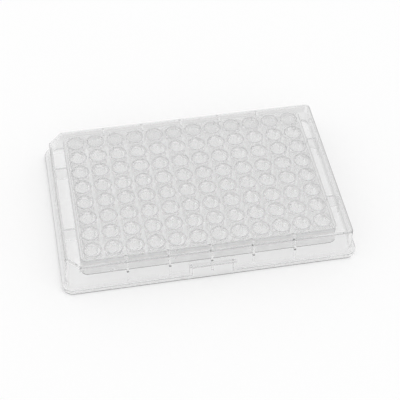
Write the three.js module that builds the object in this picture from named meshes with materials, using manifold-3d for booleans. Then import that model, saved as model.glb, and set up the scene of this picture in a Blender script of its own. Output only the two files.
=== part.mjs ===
/**
 * Ninety-six well plate, in millimetres, +Z up.
 *
 * The plate is one clear moulding. A block of ninety-six flat-bottomed wells hangs inside a
 * drafted skirt on thin webs, with an open channel all round it, and the skirt stands on a
 * wider flange. The origin is on the surface that the plate stands on, below its middle.
 * Rows run along X, with row A at +Y, and column 1 is at -X, where the skirt's two corners
 * are cut off.
 */
import * as THREE from "three";
import { mergeVertices } from "three/addons/utils/BufferGeometryUtils.js";
import Module from "manifold-3d";

// Wells: their grid and the round cup of each.
const COLUMNS = 12;
const ROWS = 8;
const PITCH = 9;
const MOUTH_RADIUS = 3.43;
const FLOOR_RADIUS = 3.2;
const WELL_DEPTH = 10.75;
const WELL_WALL = 0.42;
const WELL_BASE = 0.8;
const WELL_CLEARANCE = 3.2; // under the wells, down to the surface
const LIP_HEIGHT = 0.9; // of each rim, above the deck
const LIP_FLARE = 0.52; // how much wider the rim's foot is than its edge
const WELL_SIDES = 10;

// Block: the deck that joins the wells and the wall that hangs from its edge.
const END_MARGIN = 5.68; // from the outer well centres to the block's ends
const SIDE_MARGIN = 5.3; // and to its long sides
const DECK_THICKNESS = 1.2;
const BLOCK_WALL = 1.2;
const BLOCK_DEPTH = 8.55;
const BLOCK_CORNER = 3;

// Skirt, and the channel between it and the block.
const END_CHANNEL = 5;
const SIDE_CHANNEL = 2.24;
const SKIRT_WALL = 1.2;
const SKIRT_DRAFT = 1.1; // how far the skirt leans out from its top down to the flange
const SKIRT_CORNER = 2; // the round corners at column 12, at the top
const FOOT_CORNER = 4.6; // and at the flange
const SKIRT_CHAMFER = 5.9; // the cut corners at column 1, at the top
const FOOT_CHAMFER = 2.7; // and at the flange

// Flange that the plate stands on.
const LEDGE = 1.4; // how far it stands out past the skirt's foot
const FLANGE_HEIGHT = 2.5;
const FLANGE_CORNER = 5;

// Webs that carry the block, each with a low rib that runs on down the skirt.
const WEB_THICKNESS = 0.9;
const WEB_DEPTH = 6.6;
const WEB_DROP = 0.4; // from the deck down to a web's top edge
const WEB_SPACING = 2 * PITCH;
const SIDE_WEBS = [-2, -1, 0, 1, 2]; // places along each long side, in web spacings
const END_WEBS = [-1, 1]; // and along each end
const RIB_DEPTH = 0.5;

// Label pad, a flat step in the middle of the front, flush with the flange.
const PAD_WIDTH = 20.3;
const PAD_HEIGHT = 7.65;

const ARC_DIVISIONS = 2; // half the number of straight sides in a corner's arc
const OVERCUT = 1; // how far a cutting solid runs past the face that it opens
const STEPS_PER_MM = 2 ** 13; // every corner lies on a fine grid, so that faces meet exactly

// Heights and half sizes that follow from the values above.
const RIM_TOP = WELL_CLEARANCE + WELL_BASE + WELL_DEPTH;
const DECK_TOP = RIM_TOP - LIP_HEIGHT;
const BLOCK_HALF = new THREE.Vector2(
  ((COLUMNS - 1) * PITCH) / 2 + END_MARGIN,
  ((ROWS - 1) * PITCH) / 2 + SIDE_MARGIN,
);
const SKIRT_HALF = new THREE.Vector2(END_CHANNEL, SIDE_CHANNEL).add(BLOCK_HALF).addScalar(SKIRT_WALL);
const FLANGE_HALF = SKIRT_HALF.clone().addScalar(SKIRT_DRAFT + LEDGE);
const FLANGE_ROOF = FLANGE_HEIGHT - SKIRT_WALL;

const wasm = await Module();
wasm.setup();

const onGrid = (value) => Math.round(value * STEPS_PER_MM) / STEPS_PER_MM;

/** A closed three.js geometry as a solid that can be joined and cut. */
function toSolid(geometry) {
  geometry.deleteAttribute("normal");
  geometry.deleteAttribute("uv");
  const places = geometry.attributes.position.array;
  places.forEach((value, i) => {
    places[i] = onGrid(value);
  });
  const merged = mergeVertices(geometry);
  const corners = merged.index.array;
  const triVerts = [];
  for (let i = 0; i < corners.length; i += 3) {
    const [a, b, c] = corners.slice(i, i + 3);
    if (a !== b && b !== c && c !== a) triVerts.push(a, b, c);
  }
  return new wasm.Manifold(new wasm.Mesh({
    numProp: 3,
    vertProperties: Float32Array.from(merged.attributes.position.array),
    triVerts: Uint32Array.from(triVerts),
  }));
}

/** The finished solid as a geometry for the scene. */
function toGeometry(solid) {
  const { vertProperties, triVerts } = solid.getMesh();
  const geometry = new THREE.BufferGeometry();
  geometry.setAttribute("position", new THREE.BufferAttribute(vertProperties, 3));
  geometry.setIndex(new THREE.BufferAttribute(triVerts, 1));
  geometry.computeVertexNormals();
  return geometry;
}

const join = (solids) => solids.reduce((whole, solid) => whole.add(solid));

/** Rectangle with four round corners, about the origin. */
function roundedOutline(half, radius) {
  const x = half.x - radius;
  const y = half.y - radius;
  const outline = new THREE.Shape();
  outline.absarc(x, y, radius, 0, Math.PI / 2);
  outline.absarc(-x, y, radius, Math.PI / 2, Math.PI);
  outline.absarc(-x, -y, radius, Math.PI, 1.5 * Math.PI);
  outline.absarc(x, -y, radius, 1.5 * Math.PI, 2 * Math.PI);
  return outline;
}

/** How far down the skirt a height is: 0 at its top and 1 at the flange. */
const descent = (z) => (DECK_TOP - z) / (DECK_TOP - FLANGE_HEIGHT);

/** How far the skirt has leaned out at a height, measured from its top. */
const lean = (z) => SKIRT_DRAFT * descent(z);

/** The skirt's outline at a height, moved in by an inset: round corners at +X and cut corners at -X. */
function skirtOutline(inset, z) {
  const half = SKIRT_HALF.clone().addScalar(lean(z) - inset);
  const radius = THREE.MathUtils.lerp(SKIRT_CORNER, FOOT_CORNER, descent(z)) - inset;
  const cut = THREE.MathUtils.lerp(SKIRT_CHAMFER, FOOT_CHAMFER, descent(z)) - inset * (2 - Math.SQRT2);
  const outline = new THREE.Shape();
  outline.absarc(half.x - radius, half.y - radius, radius, 0, Math.PI / 2);
  outline.lineTo(cut - half.x, half.y);
  outline.lineTo(-half.x, half.y - cut);
  outline.lineTo(-half.x, cut - half.y);
  outline.lineTo(cut - half.x, -half.y);
  outline.absarc(half.x - radius, radius - half.y, radius, 1.5 * Math.PI, 2 * Math.PI);
  return outline;
}

/** An outline raised straight up from one height to another. */
function prism(outline, bottom, top) {
  const settings = { depth: top - bottom, bevelEnabled: false, curveSegments: ARC_DIVISIONS };
  return new THREE.ExtrudeGeometry(outline, settings).translate(0, 0, bottom);
}

/** The skirt's outline raised from one height to another, leaning out towards the flange. */
function draftedSkirt(inset, bottom, top) {
  const corners = [bottom, top].flatMap((z) => (
    skirtOutline(inset, z).getPoints(ARC_DIVISIONS).map(({ x, y }) => [onGrid(x), onGrid(y), onGrid(z)])
  ));
  return wasm.Manifold.hull(corners);
}

/** The box of the label pad, moved in by an inset, reaching back to the middle of the skirt's wall. */
function padBox(inset, bottom) {
  const top = PAD_HEIGHT - inset;
  const front = FLANGE_HALF.y - inset;
  const back = SKIRT_HALF.y - SKIRT_WALL / 2 - 2 * inset;
  const box = new THREE.BoxGeometry(PAD_WIDTH - 2 * inset, front - back, top - bottom);
  return toSolid(box.translate(0, -(front + back) / 2, (top + bottom) / 2));
}

/** Skirt, flange and label pad: one thin shell, open at the top and the bottom. */
function makeSkirt() {
  const outside = draftedSkirt(0, (FLANGE_ROOF + FLANGE_HEIGHT) / 2, DECK_TOP)
    .add(toSolid(prism(roundedOutline(FLANGE_HALF, FLANGE_CORNER), 0, FLANGE_HEIGHT)))
    .add(padBox(0, 0));
  const flangeInside = FLANGE_HALF.clone().subScalar(SKIRT_WALL);
  const flangeOutline = roundedOutline(flangeInside, FLANGE_CORNER - SKIRT_WALL);
  const inside = draftedSkirt(SKIRT_WALL, FLANGE_ROOF / 2, DECK_TOP + OVERCUT)
    .add(toSolid(prism(flangeOutline, -OVERCUT, FLANGE_ROOF)))
    .add(padBox(SKIRT_WALL, -OVERCUT));
  return outside.subtract(inside);
}

/** A profile of [radius, height] points turned about the axis of the well at (x, y). */
function turned(profile, x, y) {
  const points = profile.map(([radius, height]) => new THREE.Vector2(radius, height));
  const geometry = new THREE.LatheGeometry(points, WELL_SIDES);
  return toSolid(geometry.rotateX(Math.PI / 2).translate(x, y, 0));
}

/** One well: a tapered cup with a rim that rises from the deck to a thin edge. */
function makeWell(x, y) {
  const floor = RIM_TOP - WELL_DEPTH;
  return turned([
    [0, WELL_CLEARANCE],
    [FLOOR_RADIUS + WELL_WALL, WELL_CLEARANCE],
    [MOUTH_RADIUS + WELL_WALL, DECK_TOP - DECK_THICKNESS],
    [MOUTH_RADIUS + LIP_FLARE, DECK_TOP],
    [MOUTH_RADIUS, RIM_TOP],
    [FLOOR_RADIUS, floor],
    [0, floor],
  ], x, y);
}

/** The hole in the deck that a well fills, cut down the middle of the well's wall. */
function makeDeckHole(x, y) {
  const radius = MOUTH_RADIUS + WELL_WALL / 2;
  const bottom = DECK_TOP - DECK_THICKNESS - OVERCUT;
  const top = DECK_TOP + OVERCUT;
  return turned([[0, bottom], [radius, bottom], [radius, top], [0, top]], x, y);
}

/** The deck and its hanging wall, with every well in its place. */
function makeBlock() {
  const centres = [];
  for (let row = 0; row < ROWS; row += 1) {
    for (let column = 0; column < COLUMNS; column += 1) {
      centres.push([(column - (COLUMNS - 1) / 2) * PITCH, ((ROWS - 1) / 2 - row) * PITCH]);
    }
  }
  const bottom = DECK_TOP - BLOCK_DEPTH;
  const inside = BLOCK_HALF.clone().subScalar(BLOCK_WALL);
  const insideOutline = roundedOutline(inside, BLOCK_CORNER - BLOCK_WALL);
  return toSolid(prism(roundedOutline(BLOCK_HALF, BLOCK_CORNER), bottom, DECK_TOP))
    .subtract(toSolid(prism(insideOutline, bottom - OVERCUT, DECK_TOP - DECK_THICKNESS)))
    .subtract(join(centres.map(([x, y]) => makeDeckHole(x, y))))
    .add(join(centres.map(([x, y]) => makeWell(x, y))));
}

/**
 * One web, from inside the block's wall to inside the skirt's wall, with its rib down the skirt.
 * It is drawn with the distance from the plate's middle and the height as its two axes, and then
 * turned to face one side of the plate at a place along it.
 */
function makeWeb(blockHalf, skirtHalf, place, turn) {
  const top = DECK_TOP - WEB_DROP;
  const bottom = top - WEB_DEPTH;
  const inner = blockHalf - BLOCK_WALL / 2;
  const skirtFace = (z) => skirtHalf - SKIRT_WALL + lean(z);
  const outline = new THREE.Shape([
    new THREE.Vector2(inner, top),
    new THREE.Vector2(inner, bottom),
    new THREE.Vector2(skirtFace(bottom) - RIB_DEPTH, bottom),
    new THREE.Vector2(skirtFace(FLANGE_HEIGHT) - RIB_DEPTH, FLANGE_HEIGHT),
    new THREE.Vector2(skirtFace(FLANGE_HEIGHT) + SKIRT_WALL / 2, FLANGE_HEIGHT),
    new THREE.Vector2(skirtFace(top) + SKIRT_WALL / 2, top),
  ]);
  const geometry = prism(outline, -WEB_THICKNESS / 2, WEB_THICKNESS / 2);
  return toSolid(geometry.rotateX(Math.PI / 2).translate(0, place, 0).rotateZ(turn));
}

/** All the webs: five on each long side and two on each end. */
function makeWebs() {
  const webs = [];
  for (const turn of [0, Math.PI]) {
    for (const place of END_WEBS) {
      webs.push(makeWeb(BLOCK_HALF.x, SKIRT_HALF.x, place * WEB_SPACING, turn));
    }
  }
  for (const turn of [Math.PI / 2, -Math.PI / 2]) {
    for (const place of SIDE_WEBS) {
      webs.push(makeWeb(BLOCK_HALF.y, SKIRT_HALF.y, place * WEB_SPACING, turn));
    }
  }
  return join(webs);
}

const clearPolystyrene = new THREE.MeshStandardMaterial({
  color: 0xe6e8ea,
  roughness: 0.08,
  metalness: 0,
  transparent: true,
  opacity: 0.35,
});

const plate = new THREE.Mesh(toGeometry(makeSkirt().add(makeBlock()).add(makeWebs())), clearPolystyrene);
plate.name = "plate";

const wellPlate = new THREE.Group();
wellPlate.name = "well_plate";
wellPlate.add(plate);

export default wellPlate;
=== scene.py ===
"""Ninety-six well plate, one clear moulding. Sizes are in millimetres, and the meshes are in metres."""

import math

import bmesh
import bpy
from mathutils import Matrix, Vector


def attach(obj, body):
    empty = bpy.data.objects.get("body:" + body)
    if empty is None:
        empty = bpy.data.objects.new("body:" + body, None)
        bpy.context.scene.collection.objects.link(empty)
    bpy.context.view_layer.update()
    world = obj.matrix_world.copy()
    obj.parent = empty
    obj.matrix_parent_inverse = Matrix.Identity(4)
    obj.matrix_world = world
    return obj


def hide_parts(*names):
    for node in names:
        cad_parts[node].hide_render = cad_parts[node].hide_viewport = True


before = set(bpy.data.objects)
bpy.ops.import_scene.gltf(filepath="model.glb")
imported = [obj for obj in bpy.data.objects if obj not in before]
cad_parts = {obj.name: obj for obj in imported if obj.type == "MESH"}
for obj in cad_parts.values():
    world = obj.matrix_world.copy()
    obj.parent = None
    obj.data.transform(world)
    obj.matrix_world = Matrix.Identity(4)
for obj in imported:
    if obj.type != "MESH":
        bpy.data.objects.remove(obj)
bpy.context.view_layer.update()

MM = 0.001

# Wells: their grid and the round cup of each.
COLUMNS, ROWS, PITCH = 12, 8, 9.0
MOUTH_RADIUS, FLOOR_RADIUS = 3.43, 3.2
WELL_DEPTH, WELL_WALL, WELL_BASE = 10.75, 0.42, 0.8
WELL_CLEARANCE = 3.2  # under the wells, down to the surface
LIP_HEIGHT = 0.9  # of each rim, above the deck
LIP_FLARE = 0.66  # the thickness of a rim's bead at its foot
CUP_ROUND = 0.45  # round a cup's floor, inside and out
CUP_MIDDLE = 0.4  # radius of the last face, in the middle of a cup's floor

# Block: the deck that joins the wells and the wall that hangs from its edge.
END_MARGIN, SIDE_MARGIN = 5.68, 5.3  # from the outer well centres to the block's ends and long sides
DECK_THICKNESS, BLOCK_WALL, BLOCK_DEPTH = 1.2, 1.2, 8.55
BLOCK_CORNER, BLOCK_ROUND = 3.0, 0.3
BLOCK_TOE = 0.12  # how far the wall's lower edge is drawn in

# Skirt, and the channel between it and the block.
END_CHANNEL, SIDE_CHANNEL = 5.0, 2.24
SKIRT_WALL = 1.2
SKIRT_DRAFT = 1.1  # how far the skirt leans out from its top down to the flange
SKIRT_CORNER, FOOT_CORNER = 2.0, 4.6  # the round corners at column 12, at the top and at the flange
SKIRT_CHAMFER, FOOT_CHAMFER = 5.9, 2.7  # the cut corners at column 1, at the top and at the flange
CHAMFER_ROUND, FOOT_CHAMFER_ROUND = 0.8, 4.5  # the rounds at both ends of a cut corner
LEAST_CHAMFER_ROUND = 0.1
SKIRT_ROUND = 0.3

# Flange that the plate stands on.
LEDGE, FLANGE_HEIGHT, FLANGE_CORNER = 1.4, 2.5, 5.0
FLANGE_ROUND = 0.35
FLANGE_TOE = 0.18  # how far its lower edge is drawn in

# Webs that carry the block, each with a low rib that runs on down the skirt.
WEB_THICKNESS, WEB_DEPTH = 0.9, 6.6
WEB_DROP = 0.4  # from the deck down to a web's top edge
WEB_SPACING = 2 * PITCH
SIDE_WEBS, END_WEBS = (-2, -1, 0, 1, 2), (-1, 1)  # places along a side and an end, in web spacings
RIB_DEPTH = 0.5

# Label pad on the front.
PAD_WIDTH, PAD_HEIGHT = 20.3, 7.65
PAD_ROUND, LEAST_PAD_ROUND = 0.3, 0.02
PAD_HOLLOW_BACK = 2.5 * SKIRT_WALL  # from the skirt's outer face in to the end of the pad's hollow

# Strips that have a finish of their own, whose darker tints are painted shade and painted dark lines.
EDGE_STRIP = 0.6  # height of the one along the lower edges of the flange and the block
BROW = 2.6  # height of the one under the block's upper edge
DECK_BORDER, SKIRT_BORDER = 0.4, 0.8  # width of those round the deck and the skirt's top edge
BACK_SHADE = 9.5  # height at which the one inside the skirt's back wall starts
WEB_HEEL = 0.9  # length of the plain part of a front web's foot, next to the block
PROUD = 0.02  # a strip's edge stands out by this from a flat face, which keeps the two apart
TOE_HEIGHT = 0.15  # of the part of a lower edge that is drawn in
TOE_OFFSET = 0.03  # how far the face is off its own plane at that height

# Finishes: a grey tint, how much passes through, and the roughness where it is least and most. The roughness
# is the plastic's own, but the grey tints are painted shade and painted reflection: they stand for the shade
# of the floor seen through the plate and for the dark parts of a studio, which the edges of clear plastic
# pick up from all round.
FINISHES_AND_PAINTED_SHADE = {
    "wall": (0.94, 1.0, 0.0, 0.01),
    # A darker tint that paints the shade of the floor seen through the back and right walls.
    "far_wall_painted_shade": (0.8, 1.0, 0.0, 0.01),
    # A dark tint that paints shade on the block's left end and on the channel beside it.
    "near_end_painted_shade": (0.55, 1.0, 0.01, 0.05),
    "back_shade": (0.72, 1.0, 0.01, 0.05),
    # The next two tints are darker and paint shade on the deck and the wells' necks.
    "deck": (0.87, 1.0, 0.0, 0.01),
    "neck": (0.84, 1.0, 0.0, 0.01),
    "cup": (1.0, 1.0, 0.0, 0.01),
    "underside": (0.95, 1.0, 0.2, 0.3),
    "block_wall": (0.86, 1.0, 0.25, 0.32),
    # The next four tints paint dark lines and bands along edges and rims.
    "brow": (0.7, 1.0, 0.25, 0.32),
    "lip": (0.66, 1.0, 0.0, 0.01),
    "border": (0.6, 1.0, 0.02, 0.06),
    "edge": (0.55, 1.0, 0.02, 0.06),
    # The next two are the darkest tints and paint dark lines along lower edges and cut corners.
    "flange_edge_painted_shade": (0.24, 1.0, 0.02, 0.06),
    "low_edge_painted_shade": (0.18, 1.0, 0.02, 0.06),
    # The next two are dark, partly opaque tints that paint dark dots of shade on the webs' feet.
    "foot": (0.15, 0.1, 0.02, 0.06),
    "end_foot_painted_shade": (0.7, 0.6, 0.02, 0.06),
}
LIP_CREST = 0.6  # share of a rim's height at which its finish starts, a darker tint that paints a dark ring
NEAR = 0.05  # a point this near to a height is taken to be at it
SLIVER = 0.002  # less than any face of a round or a strip rises
BESIDE = 0.1  # a point is outside the block when it is this far past it
PAST_CHANNEL = 0.2  # and on the skirt when it is this far past the channel
FLAT = 0.9  # the normal's upright part on a level face
OUTWARD = 0.1  # and its least part away from the middle on one that looks outward

# Clear polystyrene: its haze and the slow waves of its surface. The waves' depth is in metres.
REFRACTION = 1.59
HAZE_SCALE, HAZE_DETAIL = 90, 3
WAVE_SCALE, WAVE_DETAIL = 140, 1
WAVE_STRENGTH, WAVE_DEPTH = 0.06, 0.0001

WELL_SIDES = 48
CORNER_STEPS = 10
EDGE_STEPS = 3
LIP_STEPS = 4
OVERCUT = 1.0  # how far a cutting mesh runs past the face that it opens
SHARP_ANGLE = 38
AREA_WEIGHT = 100  # the larger of two smooth faces decides the normals between them

# Floor and light. The floor's sizes are in metres.
FLOOR_HALF = 6.0
FLOOR_DROP = 0.00002  # keeps the floor out of the flange's underside
FLOOR_GREY = 0.99
SKY_STRENGTH = 1.0

# Heights and half sizes that follow from the values above.
RIM_TOP = WELL_CLEARANCE + WELL_BASE + WELL_DEPTH
DECK_TOP = RIM_TOP - LIP_HEIGHT
BLOCK_BOTTOM = DECK_TOP - BLOCK_DEPTH
WEB_BOTTOM = DECK_TOP - WEB_DROP - WEB_DEPTH
BLOCK_HALF = Vector(((COLUMNS - 1) * PITCH / 2 + END_MARGIN, (ROWS - 1) * PITCH / 2 + SIDE_MARGIN))
SKIRT_HALF = BLOCK_HALF + Vector((END_CHANNEL + SKIRT_WALL, SIDE_CHANNEL + SKIRT_WALL))
FLANGE_HALF = SKIRT_HALF + Vector((1, 1)) * (SKIRT_DRAFT + LEDGE)
FLANGE_ROOF = FLANGE_HEIGHT - SKIRT_WALL

# Camera, fitted to the 96 rims in the photo. Angles are in degrees, and it looks at a height over the origin.
CAMERA_AZIMUTH, CAMERA_ELEVATION, CAMERA_ROLL = -11.5119, 48.124, 1.4468
CAMERA_DISTANCE, CAMERA_SIDE, CAMERA_RISE, CAMERA_TARGET = 520.711, 2.082, -3.557, 7.0
CAMERA_LENS, CAMERA_SENSOR = 105.130, 36.0
CAMERA_CLIP = 0.01, 50  # in metres


# ---------------------------------------------------------------- camera
def make_camera():
    azimuth, elevation, roll = (math.radians(v) for v in (CAMERA_AZIMUTH, CAMERA_ELEVATION, CAMERA_ROLL))
    back = Vector((
        math.sin(azimuth) * math.cos(elevation),
        -math.cos(azimuth) * math.cos(elevation),
        math.sin(elevation),
    ))
    level = Vector((math.cos(azimuth), math.sin(azimuth), 0))
    above = back.cross(level)
    right = level * math.cos(roll) + above * math.sin(roll)
    up = above * math.cos(roll) - level * math.sin(roll)
    place = back * CAMERA_DISTANCE + right * CAMERA_SIDE + up * CAMERA_RISE + Vector((0, 0, CAMERA_TARGET))
    data = bpy.data.cameras.new("camera")
    data.sensor_width = CAMERA_SENSOR
    data.lens = CAMERA_LENS
    data.clip_start, data.clip_end = CAMERA_CLIP
    camera = bpy.data.objects.new("camera", data)
    turn = Matrix((right, up, back)).transposed().to_4x4()
    camera.matrix_world = Matrix.Translation(place * MM) @ turn
    bpy.context.scene.collection.objects.link(camera)
    bpy.context.scene.camera = camera


# ---------------------------------------------------------------- mesh helpers
def mesh_object(name, shells):
    """An object from closed shells, each a list of rings: neighbours are joined, and both ends are closed."""
    bm = bmesh.new()
    for rings in shells:
        rows = []
        for ring in rings:
            rows.append([bm.verts.new(Vector(p) * MM) for p in ring])
        for low, high in zip(rows, rows[1:]):
            for i in range(-1, len(low) - 1):
                bm.faces.new((low[i], low[i + 1], high[i + 1], high[i]))
        bm.faces.new(rows[0][::-1])
        bm.faces.new(rows[-1])
    bmesh.ops.recalc_face_normals(bm, faces=bm.faces)
    mesh = bpy.data.meshes.new(name)
    bm.to_mesh(mesh)
    bm.free()
    made = bpy.data.objects.new(name, mesh)
    bpy.context.scene.collection.objects.link(made)
    return made


def combine(target, operation, tool):
    """Joins or cuts target with tool, which is used up."""
    modifier = target.modifiers.new("combine", "BOOLEAN")
    modifier.operation = operation
    modifier.solver = "MANIFOLD"
    modifier.object = tool
    graph = bpy.context.evaluated_depsgraph_get()
    old = target.data
    target.data = bpy.data.meshes.new_from_object(target.evaluated_get(graph))
    target.modifiers.clear()
    bpy.data.objects.remove(tool)
    bpy.data.meshes.remove(old)
    return target


def quarter(steps=EDGE_STEPS):
    """Steps round a quarter turn as (sine, cosine), from 0 to 90 degrees."""
    return [(math.sin(t), math.cos(t)) for t in (math.pi / 2 * i / steps for i in range(steps + 1))]


def arc(cx, cy, radius, start, end, steps):
    """Points along an arc between two angles in degrees."""
    return [
        (cx + radius * math.cos(t), cy + radius * math.sin(t))
        for t in (math.radians(start + (end - start) * i / steps) for i in range(steps + 1))
    ]


def rounded_outline(half, radius):
    """Rectangle with four round corners, about the origin."""
    x, y = half[0] - radius, half[1] - radius
    places = ((x, y, 0), (-x, y, 90), (-x, -y, 180), (x, -y, 270))
    return [p for cx, cy, t in places for p in arc(cx, cy, radius, t, t + 90, CORNER_STEPS)]


def cut_corner(ax, ay, bx, by, cx, cy, radius):
    """The corner at b between a and c, rounded to a radius."""
    a, b, c = Vector((ax, ay)), Vector((bx, by)), Vector((cx, cy))
    u, v = (a - b).normalized(), (c - b).normalized()
    half_angle = math.acos(max(-1, min(1, u.dot(v)))) / 2
    centre = b + (u + v).normalized() * radius / math.sin(half_angle)
    start, end = b + u * radius / math.tan(half_angle), b + v * radius / math.tan(half_angle)
    first = math.atan2(*(start - centre).yx)
    turn = (math.atan2(*(end - centre).yx) - first + math.pi) % (2 * math.pi) - math.pi
    steps = CORNER_STEPS // 2
    angles = [first + turn * i / steps for i in range(steps + 1)]
    return [(centre.x + radius * math.cos(t), centre.y + radius * math.sin(t)) for t in angles]


def skirt_outline(inset, down):
    """The skirt's outline moved in, at a share of the way down from its top (0) to the flange (1).

    It has round corners at +X and cut ones at -X. The way down makes the first larger and the second
    smaller, and an inset moves all its sides in by the same distance.
    """
    x, y = SKIRT_HALF[0] - inset, SKIRT_HALF[1] - inset
    radius = SKIRT_CORNER + (FOOT_CORNER - SKIRT_CORNER) * down - inset
    cut = SKIRT_CHAMFER + (FOOT_CHAMFER - SKIRT_CHAMFER) * down - inset * (2 - math.sqrt(2))
    small = CHAMFER_ROUND + (FOOT_CHAMFER_ROUND - CHAMFER_ROUND) * down - inset
    small = max(small, LEAST_CHAMFER_ROUND)
    corners = [(cut - x, y), (-x, y - cut), (-x, cut - y), (cut - x, -y)]
    ends = [(x, y)] + corners + [(x, -y)]
    points = arc(x - radius, y - radius, radius, 0, 90, CORNER_STEPS)
    for before, here, after in zip(ends, corners, ends[2:]):
        points += cut_corner(*before, *here, *after, small)
    return points + arc(x - radius, radius - y, radius, 270, 360, CORNER_STEPS)


def lean(z):
    """How far the skirt has leaned out at a height, measured from its top."""
    return SKIRT_DRAFT * (DECK_TOP - z) / (DECK_TOP - FLANGE_HEIGHT)


def skirt_ring(inset, z, wall=0.0):
    """The skirt's outline at a height. The draft widens it from a face that lies a wall's thickness in."""
    out = lean(z)
    sx = 1 + out / (SKIRT_HALF[0] - wall)
    sy = 1 + out / (SKIRT_HALF[1] - wall)
    return [(x * sx, y * sy, z) for x, y in skirt_outline(inset, min(max(out / SKIRT_DRAFT, 0), 1))]


def flat_ring(half, radius, inset, z):
    """A rounded rectangle moved in, at a height."""
    inner = (half[0] - inset, half[1] - inset)
    return [(x, y, z) for x, y in rounded_outline(inner, radius - inset)]


def rounded_top(ring, radius, top):
    """Rings that round an upper edge, from the face under it to the flat on top."""
    return [ring(radius * (1 - c), top - radius + radius * s) for s, c in quarter()]


def box_rings(half_width, front, back, bottom, top, radius):
    """A box along -Y whose front and upper edges are rounded."""
    rings = []
    for s, c in [(0, 1)] + quarter():
        z = bottom if not rings else top - radius + radius * s
        d = radius * (1 - c)
        w, f, r = half_width - d, front - d, max(radius - d, LEAST_PAD_ROUND)
        ring = [(-w, -back)]
        ring += arc(-w + r, -f + r, r, 180, 270, EDGE_STEPS)
        ring += arc(w - r, -f + r, r, 270, 360, EDGE_STEPS)
        ring += [(w, -back)]
        rings.append([(x, y, z) for x, y in ring])
    return rings


# ---------------------------------------------------------------- skirt, flange and pad
def make_skirt():
    def inner(inset, z):
        return skirt_ring(SKIRT_WALL - inset, z, SKIRT_WALL)

    def foot(inset, z):
        return flat_ring(FLANGE_HALF, FLANGE_CORNER, inset, z)

    skirt = [skirt_ring(0, (FLANGE_ROOF + FLANGE_HEIGHT) / 2)]
    skirt += rounded_top(skirt_ring, SKIRT_ROUND, DECK_TOP)
    skirt += [skirt_ring(SKIRT_BORDER, DECK_TOP + PROUD)]
    flange = [foot(FLANGE_TOE, 0), foot(TOE_OFFSET, TOE_HEIGHT), foot(0, EDGE_STRIP)]
    flange += rounded_top(foot, FLANGE_ROUND, FLANGE_HEIGHT)
    pad = box_rings(
        PAD_WIDTH / 2, FLANGE_HALF[1],
        SKIRT_HALF[1] - SKIRT_WALL / 2, EDGE_STRIP, PAD_HEIGHT, PAD_ROUND,
    )

    hollow = [inner(0, FLANGE_ROOF / 2), inner(PROUD, BACK_SHADE)]
    hollow += rounded_top(inner, SKIRT_ROUND, DECK_TOP)
    hollow += [inner(SKIRT_ROUND, DECK_TOP + OVERCUT)]
    inside = FLANGE_HALF - Vector((1, 1)) * SKIRT_WALL
    flange_hollow = [flat_ring(inside, FLANGE_CORNER - SKIRT_WALL, 0, z) for z in (-OVERCUT, FLANGE_ROOF)]
    pad_hollow = box_rings(
        PAD_WIDTH / 2 - SKIRT_WALL, FLANGE_HALF[1] - SKIRT_WALL,
        SKIRT_HALF[1] - PAD_HOLLOW_BACK, -OVERCUT, PAD_HEIGHT - SKIRT_WALL, PAD_ROUND,
    )

    shell = mesh_object("shell", [skirt])
    for rings in (flange, pad):
        combine(shell, "UNION", mesh_object("part", [rings]))
    for rings in (hollow, flange_hollow, pad_hollow):
        combine(shell, "DIFFERENCE", mesh_object("part", [rings]))
    return shell


# ---------------------------------------------------------------- block and wells
def turned(profile, x, y):
    """Rings of a profile of (radius, height) turned about the well at (x, y)."""
    turns = [2 * math.pi * i / WELL_SIDES for i in range(WELL_SIDES)]
    return [[(x + r * math.cos(t), y + r * math.sin(t), z) for t in turns] for r, z in profile]


def cup_profile():
    """From the middle of the cup's underside, up its outside, over the rim and down to its floor."""
    floor = RIM_TOP - WELL_DEPTH
    foot = FLOOR_RADIUS + WELL_WALL
    neck = DECK_TOP - DECK_THICKNESS
    neck_radius = FLOOR_RADIUS + (MOUTH_RADIUS - FLOOR_RADIUS) * (neck - floor) / (DECK_TOP - floor)
    r = CUP_ROUND
    half = LIP_FLARE / 2
    points = [(CUP_MIDDLE, WELL_CLEARANCE)]
    points += [(foot - r + r * s, WELL_CLEARANCE + r - r * c) for s, c in quarter()]
    points += [(MOUTH_RADIUS + WELL_WALL, neck)]
    points += [(MOUTH_RADIUS + half + half * c, DECK_TOP + LIP_HEIGHT * s) for s, c in quarter(LIP_STEPS)]
    points += [(MOUTH_RADIUS + half - half * s, DECK_TOP + LIP_HEIGHT * c) for s, c in quarter()[1:]]
    points += [(neck_radius, neck)]
    points += [(FLOOR_RADIUS - r + r * c, floor + r - r * s) for s, c in quarter()]
    points += [(CUP_MIDDLE, floor)]
    return points


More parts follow.
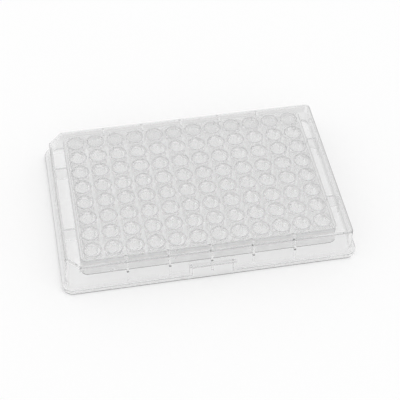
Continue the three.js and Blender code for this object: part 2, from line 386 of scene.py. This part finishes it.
def make_block():
    centres = [
        ((column - (COLUMNS - 1) / 2) * PITCH, ((ROWS - 1) / 2 - row) * PITCH)
        for row in range(ROWS) for column in range(COLUMNS)
    ]

    def outer(inset, z):
        return flat_ring(BLOCK_HALF, BLOCK_CORNER, inset, z)

    def inner(inset, z):
        return flat_ring(BLOCK_HALF - Vector((1, 1)) * BLOCK_WALL, BLOCK_CORNER - BLOCK_WALL, inset, z)

    def all_wells(profile):
        return mesh_object("part", [turned(profile, x, y) for x, y in centres])

    outside = [outer(BLOCK_TOE, BLOCK_BOTTOM), outer(-TOE_OFFSET, BLOCK_BOTTOM + TOE_HEIGHT)]
    outside += [outer(0, BLOCK_BOTTOM + EDGE_STRIP), outer(-PROUD, DECK_TOP - BROW)]
    outside += rounded_top(outer, BLOCK_ROUND, DECK_TOP)
    outside += [outer(BLOCK_ROUND + DECK_BORDER, DECK_TOP + PROUD)]
    roof = DECK_TOP - DECK_THICKNESS
    hollow = [inner(0, BLOCK_BOTTOM - OVERCUT)]
    hollow += rounded_top(inner, BLOCK_ROUND, roof)
    radius = MOUTH_RADIUS + WELL_WALL / 2
    hole = [(radius, roof - OVERCUT), (radius, DECK_TOP + OVERCUT)]

    block = mesh_object("block", [outside])
    combine(block, "DIFFERENCE", mesh_object("part", [hollow]))
    combine(block, "DIFFERENCE", all_wells(hole))
    return combine(block, "UNION", all_wells(cup_profile()))


# ---------------------------------------------------------------- webs
def web_rings(block_half, skirt_half, place, turn):
    """One web, from inside the block's wall to inside the skirt's wall, with its rib down the skirt."""
    def face(z):
        return skirt_half - SKIRT_WALL + lean(z)

    top = DECK_TOP - WEB_DROP
    inner = block_half - BLOCK_WALL / 2
    outline = [
        (inner, top),
        (inner, WEB_BOTTOM),
        (block_half + WEB_HEEL, WEB_BOTTOM - PROUD),
        (face(WEB_BOTTOM) - RIB_DEPTH, WEB_BOTTOM),
        (face(FLANGE_HEIGHT) - RIB_DEPTH, FLANGE_HEIGHT),
        (face(FLANGE_HEIGHT) + SKIRT_WALL / 2, FLANGE_HEIGHT),
        (face(top) + SKIRT_WALL / 2, top),
    ]
    c, s = math.cos(turn), math.sin(turn)
    return [
        [(u * c - v * s, u * s + v * c, z) for u, z in outline]
        for v in (place - WEB_THICKNESS / 2, place + WEB_THICKNESS / 2)
    ]


def make_webs():
    shells = []
    for turn in (0, math.pi):
        shells += [web_rings(BLOCK_HALF[0], SKIRT_HALF[0], k * WEB_SPACING, turn) for k in END_WEBS]
    for turn in (math.pi / 2, -math.pi / 2):
        shells += [web_rings(BLOCK_HALF[1], SKIRT_HALF[1], k * WEB_SPACING, turn) for k in SIDE_WEBS]
    return mesh_object("webs", shells)


# ---------------------------------------------------------------- materials
def node_material(name, grey):
    """A material with one tint, and the parts of its node tree."""
    material = bpy.data.materials.new(name)
    material.use_nodes = True
    tree = material.node_tree
    shader = tree.nodes["Principled BSDF"]
    shader.inputs["Base Color"].default_value = (grey, grey, grey, 1)
    return material, tree.nodes, tree.links, shader


def noise(nodes, links, place, scale, detail):
    """A noise in the object's own space, whose unit is a metre."""
    texture = nodes.new("ShaderNodeTexNoise")
    texture.inputs["Scale"].default_value = scale
    texture.inputs["Detail"].default_value = detail
    links.new(place.outputs["Object"], texture.inputs["Vector"])
    return texture.outputs["Fac"]


def clear_polystyrene(name, grey, clear, smoothest, roughest):
    material, nodes, links, shader = node_material(name, grey)
    shader.inputs["IOR"].default_value = REFRACTION
    shader.inputs["Transmission Weight"].default_value = clear
    place = nodes.new("ShaderNodeTexCoord")

    spread = nodes.new("ShaderNodeMapRange")
    spread.inputs["To Min"].default_value = smoothest
    spread.inputs["To Max"].default_value = roughest
    links.new(noise(nodes, links, place, HAZE_SCALE, HAZE_DETAIL), spread.inputs["Value"])
    links.new(spread.outputs["Result"], shader.inputs["Roughness"])

    bump = nodes.new("ShaderNodeBump")
    bump.inputs["Strength"].default_value = WAVE_STRENGTH
    bump.inputs["Distance"].default_value = WAVE_DEPTH
    links.new(noise(nodes, links, place, WAVE_SCALE, WAVE_DETAIL), bump.inputs["Height"])
    links.new(bump.outputs["Normal"], shader.inputs["Normal"])
    return material


def floor_material():
    material, _, _, shader = node_material("white_table", FLOOR_GREY)
    shader.inputs["Roughness"].default_value = 1.0
    shader.inputs["Specular IOR Level"].default_value = 0.0
    return material


# ---------------------------------------------------------------- where each finish goes
def inner_points(mesh):
    """For each face, the middle of the largest triangle in it, which is on the face however it winds."""
    mesh.calc_loop_triangles()
    largest = {}
    for triangle in mesh.loop_triangles:
        held = largest.get(triangle.polygon_index)
        if held is None or triangle.area > held.area:
            largest[triangle.polygon_index] = triangle
    return [
        sum((mesh.vertices[i].co for i in largest[n].vertices), Vector()) / 3
        for n in range(len(mesh.polygons))
    ]


def past_block(x, y):
    """How far a point is past the block's ends, past its long sides, and past its rounded outline."""
    wide, long = abs(x) - BLOCK_HALF[0], abs(y) - BLOCK_HALF[1]
    corner = max(wide + BLOCK_CORNER, 0), max(long + BLOCK_CORNER, 0)
    beyond = max(wide, long) if 0 in corner else math.hypot(*corner) - BLOCK_CORNER
    return wide, long, beyond


def web_finish_and_painted_shade(wide, long, y):
    """A web's foot: the photo has a dark dot on each at the front, a little way out from the block. The dot
    is painted shade, a dark and nearly opaque tint, and the other feet get a lighter painted shade.
    """
    if wide > BESIDE or y > 0:
        return "end_foot_painted_shade"
    return "foot" if long > WEB_HEEL else "wall"


def skirt_top_finish_and_painted_shade(x, y, level, back, right, at_end):
    """The skirt's top edge: its outer round, or the level strip next to that. Darker tints on it paint a dark
    line along the edge and shade at the back.
    """
    from_corner = SKIRT_HALF[0] + SKIRT_HALF[1] - abs(x) - abs(y)
    if x < 0 and from_corner < SKIRT_CHAMFER + SKIRT_WALL:
        return "flange_edge_painted_shade"
    if level:
        return "far_wall_painted_shade" if back else "border" if right or (y < 0 and not at_end) else "wall"
    return "wall" if back else "flange_edge_painted_shade" if right else "edge"


def skirt_finish_and_painted_shade(x, y, z, upright, outward):
    """The skirt, the flange, the pad and the webs, which are all outside the block. Darker tints on them
    paint shade on the back and right walls, dark lines along edges and dark dots on the webs' feet.
    """
    wide, long, _ = past_block(x, y)
    if max(wide - END_CHANNEL, long - SIDE_CHANNEL) <= PAST_CHANNEL:
        is_foot = upright < -FLAT and abs(z - WEB_BOTTOM) < NEAR
        return web_finish_and_painted_shade(wide, long, y) if is_foot else "wall"
    if y < 0 and abs(x) < PAD_WIDTH / 2:
        # Painted shade on the ceiling of the pad's hollow, and a painted dark line along the pad's upper
        # front edge.
        if upright < -FLAT and abs(z - PAD_HEIGHT + SKIRT_WALL) < NEAR:
            return "far_wall_painted_shade"
        if -y > FLANGE_HALF[1] - PAD_ROUND and z > PAD_HEIGHT - PAD_ROUND:
            return "lip"

    at_end = long < -BLOCK_CORNER
    back = y > 0 and long - SIDE_CHANNEL > PAST_CHANNEL
    right = x > 0 and wide - END_CHANNEL > PAST_CHANNEL
    on_round = outward and DECK_TOP - SKIRT_ROUND < z < DECK_TOP - SLIVER
    on_border = upright > FLAT and DECK_TOP < z < DECK_TOP + PROUD - SLIVER
    if on_round or on_border:
        return skirt_top_finish_and_painted_shade(x, y, on_border, back, right, at_end)
    # Painted shade: the right and back walls are darker, for the shade of the floor seen through them.
    if right and z > FLANGE_HEIGHT + NEAR:
        return "far_wall_painted_shade"
    if back and not right and z > FLANGE_HEIGHT + NEAR:
        return "back_shade" if z > BACK_SHADE and not outward else "neck"
    if at_end and x < 0 and not outward and z > FLANGE_HEIGHT:
        return "underside"
    # Painted dark lines along the flange's lower edge and along its face.
    if outward and not back and not right:
        at_front = y < FLANGE_CORNER - FLANGE_HALF[1]
        if z < EDGE_STRIP:
            return "flange_edge_painted_shade"
        if z < FLANGE_HEIGHT and not at_front:
            return "lip"
    return "wall"


def block_wall_finish_and_painted_shade(x, y, z, at_end):
    """The block's wall from outside, up to the deck. Darker tints on it paint shade on its ends and its front
    face, and dark lines along its upper and lower edges.
    """
    if z > DECK_TOP - BLOCK_ROUND:
        return "far_wall_painted_shade" if y > 0 and not at_end else "lip"
    # Painted shade on the block's ends, darkest at the left end.
    if at_end:
        return "near_end_painted_shade" if x < 0 else "far_wall_painted_shade"
    if y > 0:
        return "wall"
    # A painted dark line along the block's lower edge.
    if z < BLOCK_BOTTOM + EDGE_STRIP:
        return "low_edge_painted_shade"
    return "brow" if z > DECK_TOP - BROW else "block_wall"


def off_centre(value, count):
    """How far a place along a row of wells is from the centre of the nearest one."""
    middle = (count - 1) / 2
    nearest = min(max(round(value / PITCH + middle), 0), count - 1)
    return value - (nearest - middle) * PITCH


def well_finish_and_painted_shade(x, y, z):
    """The deck and the wells. Darker tints paint shade on the deck and the wells' necks and a dark ring at
    each rim's crest.
    """
    away = math.hypot(off_centre(x, COLUMNS), off_centre(y, ROWS))
    # A painted dark ring at each rim's crest.
    if z > DECK_TOP + LIP_HEIGHT * LIP_CREST:
        return "lip"
    if z > DECK_TOP - DECK_THICKNESS + NEAR and away < MOUTH_RADIUS:
        return "neck"
    if z > DECK_TOP - NEAR:
        return "deck"
    up = (z - RIM_TOP + WELL_DEPTH) / WELL_DEPTH
    middle_of_wall = FLOOR_RADIUS + (MOUTH_RADIUS - FLOOR_RADIUS) * up + WELL_WALL / 2
    inside = z > RIM_TOP - WELL_DEPTH - WELL_BASE / 2 and away < middle_of_wall
    return "cup" if inside else "underside"


def finish_and_painted_shade_of(place, normal):
    """Which finish, with the painted shade in its tint, the plate has at a point of its surface."""
    x, y, z = place / MM
    _, long, beyond = past_block(x, y)
    outward = normal.x * x + normal.y * y > OUTWARD * math.hypot(x, y)
    at_end = long < -BLOCK_CORNER
    if beyond > BESIDE:
        return skirt_finish_and_painted_shade(x, y, z, normal.z, outward)
    if beyond > -NEAR - BLOCK_ROUND and outward:
        return block_wall_finish_and_painted_shade(x, y, z, at_end)
    # A painted dark line along the deck's border at the block's ends.
    if at_end and beyond > -DECK_BORDER - BLOCK_ROUND and abs(z - DECK_TOP) < NEAR:
        return "lip"
    return well_finish_and_painted_shade(x, y, z)


def make_plate():
    plate = make_skirt()
    combine(plate, "UNION", make_block())
    combine(plate, "UNION", make_webs())
    plate.name = plate.data.name = "clear_well_plate"
    plate.data.materials.clear()
    # A material for each finish, whose grey tint is painted shade and painted reflection.
    for name, painted_shade_and_finish in FINISHES_AND_PAINTED_SHADE.items():
        plate.data.materials.append(clear_polystyrene("polystyrene_" + name, *painted_shade_and_finish))
    for face, place in zip(plate.data.polygons, inner_points(plate.data)):
        face.use_smooth = True
        face.material_index = list(FINISHES_AND_PAINTED_SHADE).index(finish_and_painted_shade_of(place, face.normal))
    plate.data.set_sharp_from_angle(angle=math.radians(SHARP_ANGLE))
    weights = plate.modifiers.new("weights", "WEIGHTED_NORMAL")
    weights.keep_sharp = True
    weights.weight = AREA_WEIGHT
    return plate


# ---------------------------------------------------------------- floor and light
def make_floor():
    half = FLOOR_HALF
    mesh = bpy.data.meshes.new("floor")
    corners = [(-half, -half, 0), (half, -half, 0), (half, half, 0), (-half, half, 0)]
    mesh.from_pydata(corners, [], [(0, 1, 2, 3)])
    mesh.materials.append(floor_material())
    floor = bpy.data.objects.new("floor", mesh)
    bpy.context.scene.collection.objects.link(floor)
    floor.location.z = -FLOOR_DROP


def make_world():
    """An even white sky, as soft as a light can be."""
    world = bpy.data.worlds.new("studio")
    bpy.context.scene.world = world
    world.use_nodes = True
    sky = world.node_tree.nodes["Background"]
    sky.inputs["Color"].default_value = (1, 1, 1, 1)
    sky.inputs["Strength"].default_value = SKY_STRENGTH


def set_light_paths():
    """Light crosses many clear walls on its way, and none of it is dropped early."""
    cycles = bpy.context.scene.cycles
    cycles.max_bounces = 96
    cycles.transmission_bounces = 64
    cycles.glossy_bounces = 48
    cycles.diffuse_bounces = 8
    cycles.min_light_bounces = 24
    cycles.blur_glossy = 0


make_camera()
plate = make_plate()
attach(plate, "root")
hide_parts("plate")

make_floor()
make_world()
set_light_paths()
bpy.context.scene.view_settings.view_transform = "Standard"
